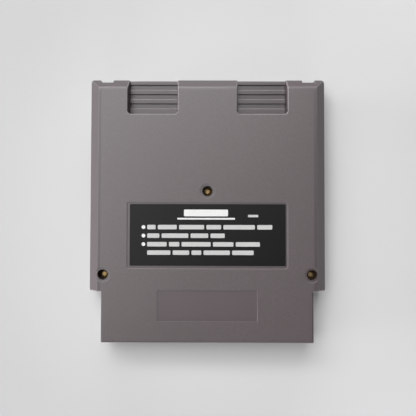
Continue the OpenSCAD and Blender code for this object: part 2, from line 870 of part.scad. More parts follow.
// Resistor body along X, thicker at its two ends where the caps are
module resistors() {
    waist = 0.15;
    cap_l = 1.3;
    slope = 0.4;
    r = resistor_d / 2;
    color("#b89a6a") for (place = resistor_places)
        translate([place[0] - resistor_l / 2, place[1], resistor_z]) rotate([0, 90, 0]) rotate_extrude() polygon([
            [0, 0], [r - waist, 0], [r, waist], [r, cap_l], [r - waist, cap_l + slope],
            [r - waist, resistor_l - cap_l - slope], [r, resistor_l - cap_l], [r, resistor_l - waist],
            [r - waist, resistor_l], [0, resistor_l]
        ]);
}

module resistor_wires() {
    reach = (resistor_span - resistor_l) / 2;
    color(tin_colour) for (place = resistor_places, side = [-1, 1])
        translate([place[0] + side * resistor_span / 2, place[1], 0]) rotate([0, 0, side > 0 ? 0 : 180])
            bent_wire(reach, resistor_z);
}

// Cone of solder under the board, closed round a flat leg or a round wire
module solder_cone() {
    translate([0, 0, board_z - joint_h]) cylinder(d1 = joint_tip_d, d2 = joint_d, h = joint_h);
}

module solder_joints() {
    color(tin_colour) {
        for (place = concat(rom_leg_places, small_leg_places))
            translate([place[0], place[1], 0]) difference() {
                solder_cone();
                translate([-leg_tip_w / 2, -leg_t / 2, 0]) cube([leg_tip_w, leg_t, body_t]);
            }
        for (place = wire_places)
            translate([place[0], place[1], 0]) difference() {
                solder_cone();
                cylinder(d = wire_d, h = body_t);
            }
    }
}

back_shell();
front_shell();
case_screws();
back_label();
circuit_board();
back_contacts();
front_contacts();
program_rom();
program_rom_legs();
graphics_rom();
graphics_rom_legs();
lockout_chip();
lockout_chip_legs();
bank_switch_chip();
bank_switch_chip_legs();
electrolytic_can();
electrolytic_bung();
electrolytic_wires();
ceramic_capacitors();
ceramic_capacitor_wires();
resistors();
resistor_wires();
solder_joints();
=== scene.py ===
from math import cos, hypot, radians, sin

import bmesh
import bpy
from mathutils import Matrix, Vector


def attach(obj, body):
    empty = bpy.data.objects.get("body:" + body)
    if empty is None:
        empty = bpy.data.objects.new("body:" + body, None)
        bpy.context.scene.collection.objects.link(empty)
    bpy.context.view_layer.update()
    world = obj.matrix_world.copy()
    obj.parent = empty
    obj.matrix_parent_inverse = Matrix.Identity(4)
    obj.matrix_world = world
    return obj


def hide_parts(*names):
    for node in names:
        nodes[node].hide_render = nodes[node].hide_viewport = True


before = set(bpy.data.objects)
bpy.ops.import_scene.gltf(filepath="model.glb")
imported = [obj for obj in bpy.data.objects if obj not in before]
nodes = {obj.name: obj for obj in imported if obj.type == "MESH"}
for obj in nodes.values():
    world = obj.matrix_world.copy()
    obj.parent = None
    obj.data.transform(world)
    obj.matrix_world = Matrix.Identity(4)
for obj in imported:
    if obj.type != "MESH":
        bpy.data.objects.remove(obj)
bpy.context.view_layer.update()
mm = 0.001
print("frame loaded:", len(nodes), "nodes")


# one socket of a material's tree, with plain maths on it
class Wire:
    def __init__(self, tree, socket=None):
        self.tree = tree
        self.socket = socket

    def make(self, kind, settings=None, inputs=None, out=0):
        node = self.tree.nodes.new("ShaderNode" + kind)
        for key, value in (settings or {}).items():
            setattr(node, key, value)
        for key, value in (inputs or {}).items():
            if isinstance(value, Wire):
                self.tree.links.new(value.socket, node.inputs[key])
            elif isinstance(value, tuple) and node.inputs[key].type == "RGBA":
                node.inputs[key].default_value = (*value, 1)
            else:
                node.inputs[key].default_value = value
        return Wire(self.tree, node.outputs[out])

    def math(self, operation, *values):
        return self.make("Math", {"operation": operation}, dict(enumerate(values)))

    def __add__(self, other):
        return self.math("ADD", self, other)

    __radd__ = __add__

    def __sub__(self, other):
        return self.math("SUBTRACT", self, other)

    def __rsub__(self, other):
        return self.math("SUBTRACT", other, self)

    def __mul__(self, other):
        return self.math("MULTIPLY", self, other)

    __rmul__ = __mul__

    def __truediv__(self, other):
        return self.math("DIVIDE", self, other)

    def __abs__(self):
        return self.math("ABSOLUTE", self)

    # 0 below the lower value and 1 above the upper one, soft between them
    def rise(self, low, high):
        return self.make(
            "MapRange", {"interpolation_type": "SMOOTHSTEP"},
            {"Value": self, "From Min": low, "From Max": high},
        )

    def fall(self, low, high):
        return 1 - self.rise(low, high)

    # the first colour at 0 and the second at 1; 6, 7 and 2 are the colour sockets of the node
    def mixColour(self, first, second):
        return self.make("Mix", {"data_type": "RGBA"}, {0: self, 6: first, 7: second}, out=2)

    # a colour or a vector times this value
    def times(self, vector):
        return self.make("VectorMath", {"operation": "SCALE"}, {0: vector, "Scale": self})


# a new material, its shader and a wire on the place of each point, in millimetres
def startMaterial(name, **constants):
    material = bpy.data.materials.new(name)
    material.use_nodes = True
    shader = material.node_tree.nodes["Principled BSDF"]
    for socket, value in constants.items():
        shader.inputs[socket.replace("_", " ")].default_value = value
    metres = Wire(material.node_tree).make("TexCoord", out="Object")
    place = metres.make("VectorMath", {"operation": "SCALE"}, {0: metres, "Scale": 1 / mm})
    return material, shader, place


def feed(shader, **wires):
    for socket, wire in wires.items():
        wire.tree.links.new(wire.socket, shader.inputs[socket.replace("_", " ")])


# scale is in patches to the millimetre
def noise(place, scale, detail=2.0, roughness=0.5):
    return place.make(
        "TexNoise", {}, {"Vector": place, "Scale": scale, "Detail": detail, "Roughness": roughness}
    )


# soft patches: the scale and detail of the noise, and the two values between which they come in
def patches(place, scale, detail, low, high):
    return noise(place, scale, detail).rise(low, high)


# the three coordinates of a place, as wires
def xyz(place):
    split = place.make("SeparateXYZ", {}, {0: place})
    return [Wire(place.tree, socket) for socket in split.socket.node.outputs]


# depth in mm
def bump(height, depth, normal=None):
    inputs = {"Height": height, "Distance": depth * mm, "Strength": 1.0}
    if normal:
        inputs["Normal"] = normal
    return height.make("Bump", {}, inputs)


def toned(colour, factor):
    return tuple(c * factor for c in colour)


def onlyPick(piece):
    bpy.ops.object.select_all(action="DESELECT")
    piece.select_set(True)
    bpy.context.view_layer.objects.active = piece


def editAll(piece):
    onlyPick(piece)
    bpy.ops.object.mode_set(mode="EDIT")
    bpy.ops.mesh.select_all(action="SELECT")


def setMaterials(piece, *materials):
    piece.data.materials.clear()
    for material in materials:
        piece.data.materials.append(material)


# the picture: camera, lamps, room and floor
view = {
    "place": (2.14, -7.47, 282.0),  # mm
    "focal": 527.35, "wide": 416,  # both in pixels of the picture
    "turn": (-0.0308, -0.0068, -0.0024),  # radians about x, y and z
    "nearest": 0.01,  # m
}


def aimCamera():
    cx, cy, cz = view["turn"]
    turnX = Matrix(((1, 0, 0), (0, cos(cx), -sin(cx)), (0, sin(cx), cos(cx))))
    turnY = Matrix(((cos(cy), 0, sin(cy)), (0, 1, 0), (-sin(cy), 0, cos(cy))))
    turnZ = Matrix(((cos(cz), -sin(cz), 0), (sin(cz), cos(cz), 0), (0, 0, 1)))
    bpy.ops.object.camera_add()
    camera = bpy.context.object
    camera.name = "pictureCamera"
    camera.matrix_world = (turnZ @ turnX @ turnY).transposed().to_4x4()
    camera.location = Vector(view["place"]) * mm
    camera.data.lens = camera.data.sensor_width * view["focal"] / view["wide"]
    camera.data.clip_start = view["nearest"]
    bpy.context.scene.camera = camera


studio = {
    # place and size in metres, power in watts; a strip faces the part, the others hang level
    "lamps": {
        "keySoftbox": ((-4.75, 5.0, 5.0), (7.0, 2.5), 316.0),
        "backSoftbox": ((0.0, 5.0, 5.0), (2.5, 2.5), 77.0),
        "farSoftbox": ((0.0, 2.5, 5.0), (2.5, 2.5), 67.0),
        "middleSoftbox": ((-2.5, 2.5, 5.0), (2.5, 2.5), 51.0),
        "leftSoftbox": ((-2.5, 0.0, 5.0), (2.5, 2.5), 68.0),
        "topSoftbox": ((0.0, 0.0, 5.0), (2.5, 2.5), 15.0),
        "leftStrip": ((-8.0, 0.0, 0.63), (5.75, 1.2), 1150.0),
        "farStrip": ((0.0, 7.9, 1.25), (5.75, 1.7), 655.0),
        "nearStrip": ((0.0, -8.0, 0.63), (5.75, 1.2), 940.0),
    },
    "fill": 0.015,
    "backdrop": 0.694, "mirrored": 0.2,  # how bright the wall is to the camera, and in reflections
    "wallTop": (0.4, 0.6),  # the height at which the pale wall turns into the dim ceiling
    "floorSize": 6.0,  # m
    "floorColour": (0.694, 0.696, 0.701), "floorRough": 0.9,
    "paperGrain": (0.6, 3.0), "paperGrainTone": 0.008,
    "leftShadeReach": (-110.0, -10.0), "leftShadeTone": (0.88, 1.0),  # mm along x, and how much darker the paper is painted towards the left, as painted shade that evens out the lamps' light
    "rimShadeReach": (90.0, 140.0), "rimShadeTone": 0.045,  # mm from the middle, and how much darker the paper is painted towards its rim, as painted shade that evens out the lamps' light
}


def hangLamps():
    for name, (place, size, power) in studio["lamps"].items():
        bpy.ops.object.light_add(type="AREA", location=place)
        lamp = bpy.context.object
        lamp.name = name
        lamp.data.shape = "RECTANGLE"
        lamp.data.size, lamp.data.size_y = size
        lamp.data.energy = power
        if "Strip" in name:
            lamp.rotation_euler = Vector(place).to_track_quat("Z", "Y").to_euler()
            lamp.visible_glossy = False
        lamp.visible_camera = False


def buildRoom():
    world = bpy.data.worlds.new("studioRoom")
    bpy.context.scene.world = world
    world.use_nodes = True
    sky = world.node_tree.nodes["Background"]
    wire = Wire(world.node_tree)
    camera, glossy, through = (
        wire.make("LightPath", out=ray) for ray in ("Is Camera Ray", "Is Glossy Ray", "Is Transmission Ray")
    )
    full = studio["backdrop"] - studio["fill"]
    dim = studio["mirrored"] - studio["fill"]
    seen = wire.math("MAXIMUM", camera, through) * full + glossy * dim
    height = xyz(wire.make("TexCoord", out="Generated"))[2]
    strength = seen * height.fall(*studio["wallTop"]) + studio["fill"]
    world.node_tree.links.new(strength.socket, sky.inputs["Strength"])
    sky.inputs["Color"].default_value = (1, 1, 1, 1)


def layFloor():
    bpy.ops.mesh.primitive_plane_add(size=studio["floorSize"])
    floor = bpy.context.object
    floor.name = "floor"
    material, shader, place = startMaterial(
        "floorPaper", Roughness=studio["floorRough"], Specular_IOR_Level=0.0
    )
    x, y = xyz(place)[:2]
    left, right = studio["leftShadeTone"]
    grain = noise(place, *studio["paperGrain"]) - 0.5
    # the paper is painted darker towards the left and towards its rim, as painted shade that evens out the
    # lamps' light
    tone = x.rise(*studio["leftShadeReach"]) * (right - left) + left + grain * studio["paperGrainTone"]
    tone = tone - x.math("SQRT", x * x + y * y).rise(*studio["rimShadeReach"]) * studio["rimShadeTone"]
    feed(shader, Base_Color=tone.times(studio["floorColour"]))
    setMaterials(floor, material)


aimCamera()
hangLamps()
buildRoom()
layFloor()
bpy.context.scene.view_settings.view_transform = "Standard"
print("camera, lamps and floor placed")


# how meshes are joined, cut and rounded
work = {
    "merge": 2e-6, "cut": 1e-6,  # m
    "flat": 0.008,  # radians between two faces that are one
    "bend": 0.25,  # radians from which an edge is rounded
    "smooth": 0.6,  # radians up to which two faces shade as one
}


# a copy of a frame piece as one closed mesh with broad faces
def closedCopy(nodeName, newName):
    onlyPick(nodes[nodeName])
    bpy.ops.object.duplicate()
    piece = bpy.context.object
    piece.name = piece.data.name = newName
    piece.parent = None
    for key in list(piece.keys()):
        del piece[key]
    editAll(piece)
    bpy.ops.mesh.customdata_custom_splitnormals_clear()
    bpy.ops.mesh.remove_doubles(threshold=work["merge"])
    bpy.ops.mesh.dissolve_limited(angle_limit=work["flat"])
    bpy.ops.object.mode_set(mode="OBJECT")
    return piece


# trims everything outside a plane and closes the cut
def planeCut(piece, point, normal):
    editAll(piece)
    bpy.ops.mesh.bisect(
        plane_co=[c * mm for c in point], plane_no=normal,
        use_fill=True, clear_outer=True, threshold=work["cut"],
    )
    bpy.ops.object.mode_set(mode="OBJECT")


# radius says how round each edge gets, in mm, from its middle, its ends, its two normals and its bend
def roundEdges(piece, radius, widest, segments=3, highlitEdges=-1):
    mesh = bmesh.new()
    mesh.from_mesh(piece.data)
    weight = mesh.edges.layers.float.new("bevel_weight_edge")
    for edge in mesh.edges:
        if len(edge.link_faces) != 2:
            continue
        bend = edge.calc_face_angle() * (1 if edge.is_convex else -1)
        if abs(bend) < work["bend"]:
            continue
        ends = [v.co / mm for v in edge.verts]
        size = radius((ends[0] + ends[1]) / 2, ends, [f.normal for f in edge.link_faces], bend)
        if size:
            edge[weight] = size / widest
    mesh.to_mesh(piece.data)
    mesh.free()
    onlyPick(piece)
    rounding = piece.modifiers.new("edges", "BEVEL")
    rounding.limit_method = "WEIGHT"
    rounding.width = widest * mm
    rounding.segments = segments
    rounding.use_clamp_overlap = False
    rounding.miter_outer = "MITER_SHARP"
    rounding.material = highlitEdges
    bpy.ops.object.modifier_apply(modifier=rounding.name)
    bpy.ops.object.shade_smooth_by_angle(angle=work["smooth"])
    smoothing = piece.modifiers.new("normals", "WEIGHTED_NORMAL")
    smoothing.keep_sharp = True
    bpy.ops.object.modifier_apply(modifier=smoothing.name)


# the two shells, in mm but for slopes and tilts; x counts from the middle to either side
shell = {
    "face": 17.0, "seam": 8.5,
    "sideX": 60.0, "endY": 66.75, "wingY": -41.35, "neckX": 53.3, "mouthY": -66.7,
    "rimY": 61.95, "bevelLow": 12.2,  # where the end bevel starts, and how high the bevels end
    # smooth strip round the grained field, and how much it slopes at the sides and the grip end
    "stripX": 54.0, "stripY": 60.75, "sideSlope": 0.02, "endSlope": 0.2,
    "cornerRound": 2.0, "cornerCuts": 7,
    # how round the edges are
    "rimRound": 0.3, "sideRound": 0.1, "mitreRound": 0.2, "stripRound": 0.1, "wingRound": 0.7,
    "seamRound": 0.16, "mouthRound": 0.3, "fineRound": 0.19,
    "gripRound": 0.5, "ridgeLit": 0.42, "ridgeFar": 0.18,
    "notchRound": 0.5, "ledgeRound": 0.2, "wellRound": 0.04, "ringRound": 0.2, "recessCorner": 1.1,
    # where the features lie
    "gripX": (14.4, 41.2), "gripY": 47.8, "gripLow": 9.5, "gripHigh": 11.0,
    "ridgeTop": 10.7, "grooveFloor": 9.9, "ridgeLong": 1.0,
    "notchX": (47.5, 56.0), "notchY": 64.0,
    "recessX": (38.0, 42.0), "recessY": (-35.0, 5.0), "recessLow": 16.7,
    "wells": ((0, 9.25), (52.6, -32.85)), "wellReach": 3.0, "ringReach": 4.0,
    # the heights that the middle and the ends of an edge are past, when it lies on a broad face
    "faceEdges": (16.5, 15.4), "frontEdges": (0.8, 1.0),
    # the last ridge runs on to the inner end of the grip, and the blank panel is a little longer
    "lastGroove": (48.35, 50.12),
    "panelMiddle": -48.25, "panelHalf": (25.0, 7.5), "panelMore": 0.35,
    # how far off a point may be, and how upright a normal stands
    "slack": 0.02, "seamClear": 0.2, "bevelWide": 0.7, "wingWide": 1.1, "cornerSlack": 0.15,
    "uprightTilt": 0.1, "bevelTilt": (0.6, 0.8), "stripTilt": (0.97, 0.99985),
}


def near(a, b, slack=shell["slack"]):
    return abs(a - b) < slack


def inside(value, limits):
    return limits[0] < value < limits[1]


def upright(normals):
    return max(abs(n.z) for n in normals) < shell["uprightTilt"]


# small moves of a few vertices of the back, before its edges are rounded
def trimBack(piece):
    s = shell
    halfX, halfY = s["panelHalf"]
    for vertex in piece.data.vertices:
        x, y, z = vertex.co / mm
        if inside(abs(x), s["gripX"]) and inside(y, s["lastGroove"]) and near(z, s["grooveFloor"]):
            vertex.co.z = s["ridgeTop"] * mm
        offset = y - s["panelMiddle"]
        if abs(x) < halfX + s["slack"] and near(abs(offset), halfY) and z > s["recessLow"]:
            vertex.co.y += s["panelMore"] * (1 if offset > 0 else -1) * mm
    editAll(piece)
    bpy.ops.mesh.remove_doubles(threshold=work["merge"])
    bpy.ops.mesh.dissolve_degenerate(threshold=work["merge"])
    bpy.ops.mesh.dissolve_limited(angle_limit=work["flat"])
    bpy.ops.object.mode_set(mode="OBJECT")


# the two corners at the grip end, rounded by a fan of cuts
def roundCorner(piece, side):
    s = shell
    size = s["cornerRound"]
    for i in range(s["cornerCuts"]):
        turn = radians(90 * (i + 1) / (s["cornerCuts"] + 1))
        x, y = cos(turn), sin(turn)
        point = (side * (s["sideX"] - size + size * x), s["endY"] - size + size * y, 0)
        planeCut(piece, point, (side * x, y, 0))


# edges that both shells share, seen from the outer face at depth 0; None where each has its own
def outerRadius(mid, ends, normals, depth):
    s = shell
    x, y = abs(mid.x), mid.y
    low = s["face"] - s["bevelLow"]
    drops = [depth(e.z) for e in ends]
    wide = y > s["wingY"] - s["slack"]
    size = s["cornerRound"]
    corner = (x - s["sideX"] + size, y - s["endY"] + size)
    atCorner = min(corner) > 0 and hypot(*corner) > size - s["cornerSlack"]
    if all(near(d, s["seam"]) for d in drops):
        atSide = near(x, s["neckX"]) or near(x, s["sideX"])
        outside = atSide or near(y, s["endY"]) or near(y, s["wingY"]) or atCorner
        return s["seamRound"] if outside else 0
    if wide and near(ends[0].y, s["wingY"]) and near(ends[1].y, s["wingY"]):
        onWing = min(drops) < low + s["slack"] and x > s["neckX"] - s["wingWide"]
        return s["wingRound"] if onWing else s["rimRound"]
    outermost = near(x, s["sideX"], s["bevelWide"]) or near(y, s["endY"], s["bevelWide"])
    if wide and outermost and all(near(d, low) for d in drops):
        return s["rimRound"]
    onBevel = [n for n in normals if inside(abs(n.z), s["bevelTilt"])]
    onStrip = [n for n in normals if inside(abs(n.z), s["stripTilt"])]
    if atCorner and onBevel and min(abs(n.z) for n in normals) < s["uprightTilt"]:
        return s["rimRound"]
    if len(onBevel) == 2:
        return s["mitreRound"]
    if onBevel and onStrip:
        return s["rimRound"] if y > s["rimY"] - s["slack"] else s["sideRound"]
    if len(onStrip) == 2:
        return s["stripRound"]
    return None


def backRadius(mid, ends, normals, bend):
    s = shell
    x, y, z = abs(mid.x), mid.y, mid.z
    if bend < 0:
        inRecess = z > s["recessLow"] and inside(x, s["recessX"]) and inside(y, s["recessY"])
        return s["recessCorner"] if inRecess and upright(normals) else 0
    shared = outerRadius(mid, ends, normals, lambda height: s["face"] - height)
    if shared is not None:
        return shared
    inGrip = inside(x, s["gripX"]) and y > s["gripY"]
    if inGrip and all(near(e.z, s["ridgeTop"]) for e in ends):
        facing = max(normals, key=lambda n: abs(n.y)).y
        if abs(ends[0].x - ends[1].x) < s["ridgeLong"]:
            return 0
        return s["ridgeLit"] if facing > 0 else s["ridgeFar"]
    if inGrip and z > s["gripHigh"] and min(e.z for e in ends) > s["gripLow"]:
        return s["gripRound"]
    clear = z > s["seam"] + s["seamClear"]
    if clear and inside(x, s["notchX"]) and y > s["notchY"]:
        return s["notchRound"] if upright(normals) else s["ledgeRound"]
    middleZ, endZ = s["faceEdges"]
    if z > middleZ and all(e.z > endZ for e in ends):
        gap = min(hypot(x - wellX, y - wellY) for wellX, wellY in s["wells"])
        if gap < s["ringReach"]:
            return s["wellRound"] if gap < s["wellReach"] else s["ringRound"]
        return s["fineRound"]
    return s["mouthRound"] if clear and y < s["mouthY"] else 0


def frontRadius(mid, ends, normals, bend):
    s = shell
    x, y, z = abs(mid.x), mid.y, mid.z
    if bend < 0:
        return 0
    shared = outerRadius(mid, ends, normals, lambda height: height)
    if shared is not None:
        return shared
    clear = z < s["seam"] - s["seamClear"]
    if clear and inside(x, s["notchX"]) and y > s["notchY"]:
        return s["notchRound"] if upright(normals) else s["ledgeRound"]
    middleZ, endZ = s["frontEdges"]
    if z < middleZ and all(e.z < endZ for e in ends):
        return s["fineRound"]
    return s["mouthRound"] if clear and y < s["mouthY"] else 0


def shapeShells(plain, highlitEdges):
    s = shell
    for nodeName, newName, up, radius in (
        ("back_shell", "backCasing", 1, backRadius),
        ("front_shell", "frontCasing", -1, frontRadius),
    ):
        piece = closedCopy(nodeName, newName)
        if up > 0:
            trimBack(piece)
        face = s["face"] if up > 0 else 0.0
        for side in (-1, 1):
            planeCut(piece, (side * s["stripX"], 0, face), (side * s["sideSlope"], 0, up))
        planeCut(piece, (0, s["stripY"], face), (0, s["endSlope"], up))
        for side in (-1, 1):
            roundCorner(piece, side)
        setMaterials(piece, plain, highlitEdges)
        roundEdges(piece, radius, s["recessCorner"], highlitEdges=1)
        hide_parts(nodeName)
        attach(piece, "root")
        print(newName, "shaped:", len(piece.data.polygons), "faces")


plastic = {
    "field": (0.085, 0.067, 0.070),
    # the right-side copies are painted shade on the smooth faces and painted light on the strip
    "smooth": (0.0797, 0.0657, 0.071), "smoothShadedRight": (0.062, 0.0455, 0.0515),
    # the strip is painted darker than the smooth faces as painted shade, and its end strip lighter as a
    # painted highlight
    "strip": (0.046, 0.030, 0.036), "stripRight": (0.063, 0.047, 0.052),
    # the grip floors are painted darker as shade in their deep recesses
    "litEndStrip": (0.075, 0.055, 0.064), "grip": (0.040, 0.022, 0.031),
    "sunk": (0.079, 0.0575, 0.065),  # the blank panel and the floor round the label
    "edgeHighlight": (0.14, 0.12, 0.125),  # rounded edges, glossy, and painted pale as a highlight along them
    "rightLightAndShadeFrom": 10.0,  # x at which the right side's painted shade on the smooth faces and painted light on the strip begin to come in
    # each pair is where a colour comes in or fades out, in mm
    "faceZ": (16.9, 16.96), "frontZ": (0.04, 0.1), "fieldInset": (0.35, 0.15),
    "endInset": (0.4, 0.3), "endZ": (16.7, 16.75),
    "sunkZ": ((16.5, 16.53), (16.87, 16.9)), "sunkX": (50.0, 50.1), "sunkY": (4.6, 4.7),
    "gripY": (48.3, 48.4), "gripX": ((15.0, 15.2), (40.3, 40.5)), "gripZ": ((9.7, 9.8), (11.2, 11.6)),
    "pebbleSize": 0.6, "pebbleNoise": (2.0, 0.6),  # mm, and the detail and roughness of the noise
    "pebbleTone": 0.75, "pebbleDepth": 0.03,
    "cloud": (0.035, 2.0, 0.3, 0.7), "cloudTone": 0.04, "cloudRough": 0.02,
    "tone": 0.98, "rough": 0.365, "fieldRough": 0.02,
    "fineGrain": (7.0, 1.0), "fineDepth": 0.0012,
    "edgeCoat": {"Coat_Weight": 1.0, "Coat_IOR": 1.5, "Coat_Roughness": 0.2},
}


# the colour of each part of the moulding, from its place, with painted shade and painted light on the
# strip, the right side and the grip floors
def mouldingTone(place, faceSide, field):
    p = plastic
    x, y, z = xyz(place)
    sunkLow, sunkHigh = p["sunkZ"]
    sunk = z.rise(*sunkLow) * z.fall(*sunkHigh) * abs(x).fall(*p["sunkX"]) * y.fall(*p["sunkY"])
    # the end strip, painted lighter as a highlight
    litEndStrip = y.rise(*(shell["stripY"] - inset for inset in p["endInset"])) * z.rise(*p["endZ"])
    gripLeft, gripRight = p["gripX"]
    gripLow, gripHigh = p["gripZ"]
    # the grip floors, painted darker as shade in their deep recesses
    grip = y.rise(*p["gripY"]) * abs(x).rise(*gripLeft) * abs(x).fall(*gripRight)
    grip = grip * z.rise(*gripLow) * z.fall(*gripHigh)
    # towards the right, painted shade on the smooth faces and painted light on the strip
    rightLightAndShade = x.rise(p["rightLightAndShadeFrom"], shell["stripX"])
    tone = faceSide.mixColour(
        rightLightAndShade.mixColour(p["smooth"], p["smoothShadedRight"]),
        rightLightAndShade.mixColour(p["strip"], p["stripRight"]),
    )
    tone = sunk.mixColour(tone, p["sunk"])
    tone = litEndStrip.mixColour(tone, p["litEndStrip"])
    tone = grip.mixColour(tone, p["grip"])
    return field.mixColour(tone, p["field"])


# grey-brown moulding: pebbled broad faces inside a smooth strip, smooth bevels and recesses
def mouldedPlastic(name, edgeHighlight=None, **constants):
    p = plastic
    material, shader, place = startMaterial(name, Specular_IOR_Level=1.0, **constants)
    x, y, z = xyz(place)
    faceSide = z.rise(*p["faceZ"]) + z.fall(*p["frontZ"])
    field = faceSide * abs(x).fall(*(shell["stripX"] - inset for inset in p["fieldInset"]))
    field = field * y.fall(*(shell["stripY"] - inset for inset in p["fieldInset"]))
    pebbles = noise(place, 1 / p["pebbleSize"], *p["pebbleNoise"])
    cloud = patches(place, *p["cloud"])
    shade = cloud * p["cloudTone"] + (pebbles - 0.5) * p["pebbleTone"] * field + p["tone"]
    rough = field * p["fieldRough"] + p["rough"] + (cloud - 0.5) * p["cloudRough"]
    relief = bump(noise(place, *p["fineGrain"]), p["fineDepth"])
    relief = bump(pebbles * field, p["pebbleDepth"], relief)
    # the rounded edges take one pale colour instead, a painted highlight
    tone = edgeHighlight or mouldingTone(place, faceSide, field)
    feed(shader, Base_Color=shade.times(tone), Roughness=rough, Normal=relief)
    return material


# the second material goes on the rounded edges: a glossy coat and a painted highlight
shapeShells(
    mouldedPlastic("mouldedPlastic"),
    mouldedPlastic("glossyHighlitEdge", plastic["edgeHighlight"], **plastic["edgeCoat"]),
)
print("casings finished")

# the label: black film, and pale printed shapes on it, in mm
label = {
    "film": (0.001, 0.001, 0.001), "filmPaler": 1.35, "filmGloss": 0.315,
    "filmCloud": (0.05, 3.0, 0.25, 0.75), "fleck": (2.2, 2.0, 0.72, 0.8),
    "filmRough": 0.38, "filmRoughMore": 0.04, "filmGrain": 5.0, "filmDepth": 0.0015,
    "ink": (0.80, 0.80, 0.79), "softInk": (0.56, 0.56, 0.55),
    "inkWear": (1.3, 3.0, 0.3, 0.75), "inkWorn": 0.93, "inkRough": 0.48, "inkRoughMore": 0.06,
    "top": 16.75, "inkDepth": 0.02, "cornerCuts": 4,
    # left, right, middle, height and corner of each bar
    "heading": (-11.75, 10.4, -1.8, 3.4, 0.5), "underline": (-15.1, 13.9, -4.7, 0.85, 0.2),
    "smallMark": (20.5, 25.6, -3.3, 1.2, 0.3),
    "dotX": -32.1, "dotRadius": 0.95, "dotRows": 3,
    "dotRound": 0.98,  # the corner as a share of the radius
    "rowStart": -30.2, "rowTall": 2.25, "rowCorner": 0.45, "barGap": 1.15,
    "rows": {  # the place of each row along y, and the length of each bar in it
        -8.95: (4.2, 9.5, 12.6, 7.4, 15.8, 7.6),
        -13.25: (6.1, 13.4, 8.9, 7.1),
        -17.55: (9.8, 5.2, 14.6, 10.3, 12.1),
        -21.75: (11.7, 8.3, 4.9, 13.2, 10.8),
    },
}


# one flat bar with round corners
def inkBar(left, right, middle, tall, corner):
    bpy.ops.object.select_all(action="DESELECT")
    place = ((left + right) / 2 * mm, middle * mm, label["top"] * mm)
    bpy.ops.mesh.primitive_plane_add(size=1, location=place)
    bar = bpy.context.object
    bar.scale = ((right - left) * mm, tall * mm, 1)
    bpy.ops.object.transform_apply(location=True, rotation=False, scale=True)
    bpy.ops.object.mode_set(mode="EDIT")
    bpy.ops.mesh.bevel(offset=corner * mm, segments=label["cornerCuts"], affect="VERTICES")
    bpy.ops.object.mode_set(mode="OBJECT")
    return bar


def printShapes(name, bars, material):
    bpy.ops.object.select_all(action="DESELECT")
    for bar in bars:
        bar.select_set(True)
    bpy.context.view_layer.objects.active = bars[0]
    bpy.ops.object.join()
    piece = bpy.context.object
    piece.name = piece.data.name = name
    bpy.ops.object.transform_apply(location=True, rotation=True, scale=True)
    film = piece.modifiers.new("thickness", "SOLIDIFY")
    film.thickness = label["inkDepth"] * mm
    film.offset = 1.0
    bpy.ops.object.modifier_apply(modifier=film.name)
    setMaterials(piece, material)
    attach(piece, "root")


def headingBars():
    x, size = label["dotX"], label["dotRadius"]
    bars = [inkBar(*label["heading"]), inkBar(*label["underline"])]
    for y in list(label["rows"])[:label["dotRows"]]:
        bars.append(inkBar(x - size, x + size, y, 2 * size, size * label["dotRound"]))
    return bars


def rowBars():
    bars = [inkBar(*label["smallMark"])]
    for y, lengths in label["rows"].items():
        start = label["rowStart"]
        for length in lengths:
            bars.append(inkBar(start, start + length, y, label["rowTall"], label["rowCorner"]))
            start += length + label["barGap"]
    return bars


def blackFilm():
    material, shader, place = startMaterial("blackFilm", Specular_IOR_Level=label["filmGloss"])
    cloud = patches(place, *label["filmCloud"])
    haze = (cloud + patches(place, *label["fleck"])) / 2
    feed(
        shader, Base_Color=haze.mixColour(label["film"], toned(label["film"], label["filmPaler"])),
        Roughness=(cloud - 0.5) * label["filmRoughMore"] + label["filmRough"],
        Normal=bump(noise(place, label["filmGrain"]), label["filmDepth"]),
    )
    return material


def printInk(name, colour):
    material, shader, place = startMaterial(name)
    wear = patches(place, *label["inkWear"])
    feed(
        shader, Base_Color=wear.mixColour(colour, toned(colour, label["inkWorn"])),
        Roughness=wear * label["inkRoughMore"] + label["inkRough"],
    )
    return material


printShapes("labelHeading", headingBars(), printInk("whiteInk", label["ink"]))
printShapes("labelRows", rowBars(), printInk("paleInk", label["softInk"]))
setMaterials(nodes["back_label"], blackFilm())
print("label printed")

# the metals of the screws, the legs and wires, and the contacts
metal = {
    "brass": (0.36, 0.25, 0.105), "brassStain": (0.25, 0.165, 0.075),
    "gold": (0.86, 0.63, 0.27), "goldWorn": (0.74, 0.56, 0.30),
    "tin": (0.62, 0.62, 0.63), "tinDull": (0.42, 0.42, 0.44),
    # how rough it is, how many marks to the mm along x, y and z, and how deep they are in mm
    "brassMarks": (0.30, (4.0, 4.0, 4.0), 0.006),
    "goldMarks": (0.22, (6.0, 0.25, 6.0), 0.003),
    "tinMarks": (0.26, (1.5, 1.5, 0.5), 0.006),
    "goldMetallic": 0.6,  # below 1, so that it still looks yellow in the dark mouth
    "wellShade": (11.35, 11.5), "wellShadeTone": 0.24,  # the height under which the screws are painted dark, as shade down their wells, in mm, and how dark
    "patch": (0.9, 3.0, 0.35, 0.7), "patchRough": 0.14,
    "markNoise": (1.0, 3.0, 0.6), "markRough": 0.1,
}


# metal that dulls in patches, with fine marks all over it, and painted shade below a height where one is
# given
def patchedMetal(name, bright, dull, marks, wellShade=None, metallic=1.0):
    material, shader, place = startMaterial(name, Metallic=metallic)
    rough, grain, depth = marks
    patch = patches(place, *metal["patch"])
    stretched = place.make("Mapping", {}, {"Vector": place, "Scale": grain})
    lines = noise(stretched, *metal["markNoise"])
    tone = patch.mixColour(bright, dull)
    if wellShade:
        # painted shade: darker below the given height
        dark = xyz(place)[2].fall(*wellShade)
        tone = dark.mixColour(tone, toned(dull, metal["wellShadeTone"]))
    feed(
        shader, Base_Color=tone, Normal=bump(lines, depth),
        Roughness=patch * metal["patchRough"] + lines * metal["markRough"] + rough,
    )
    return material


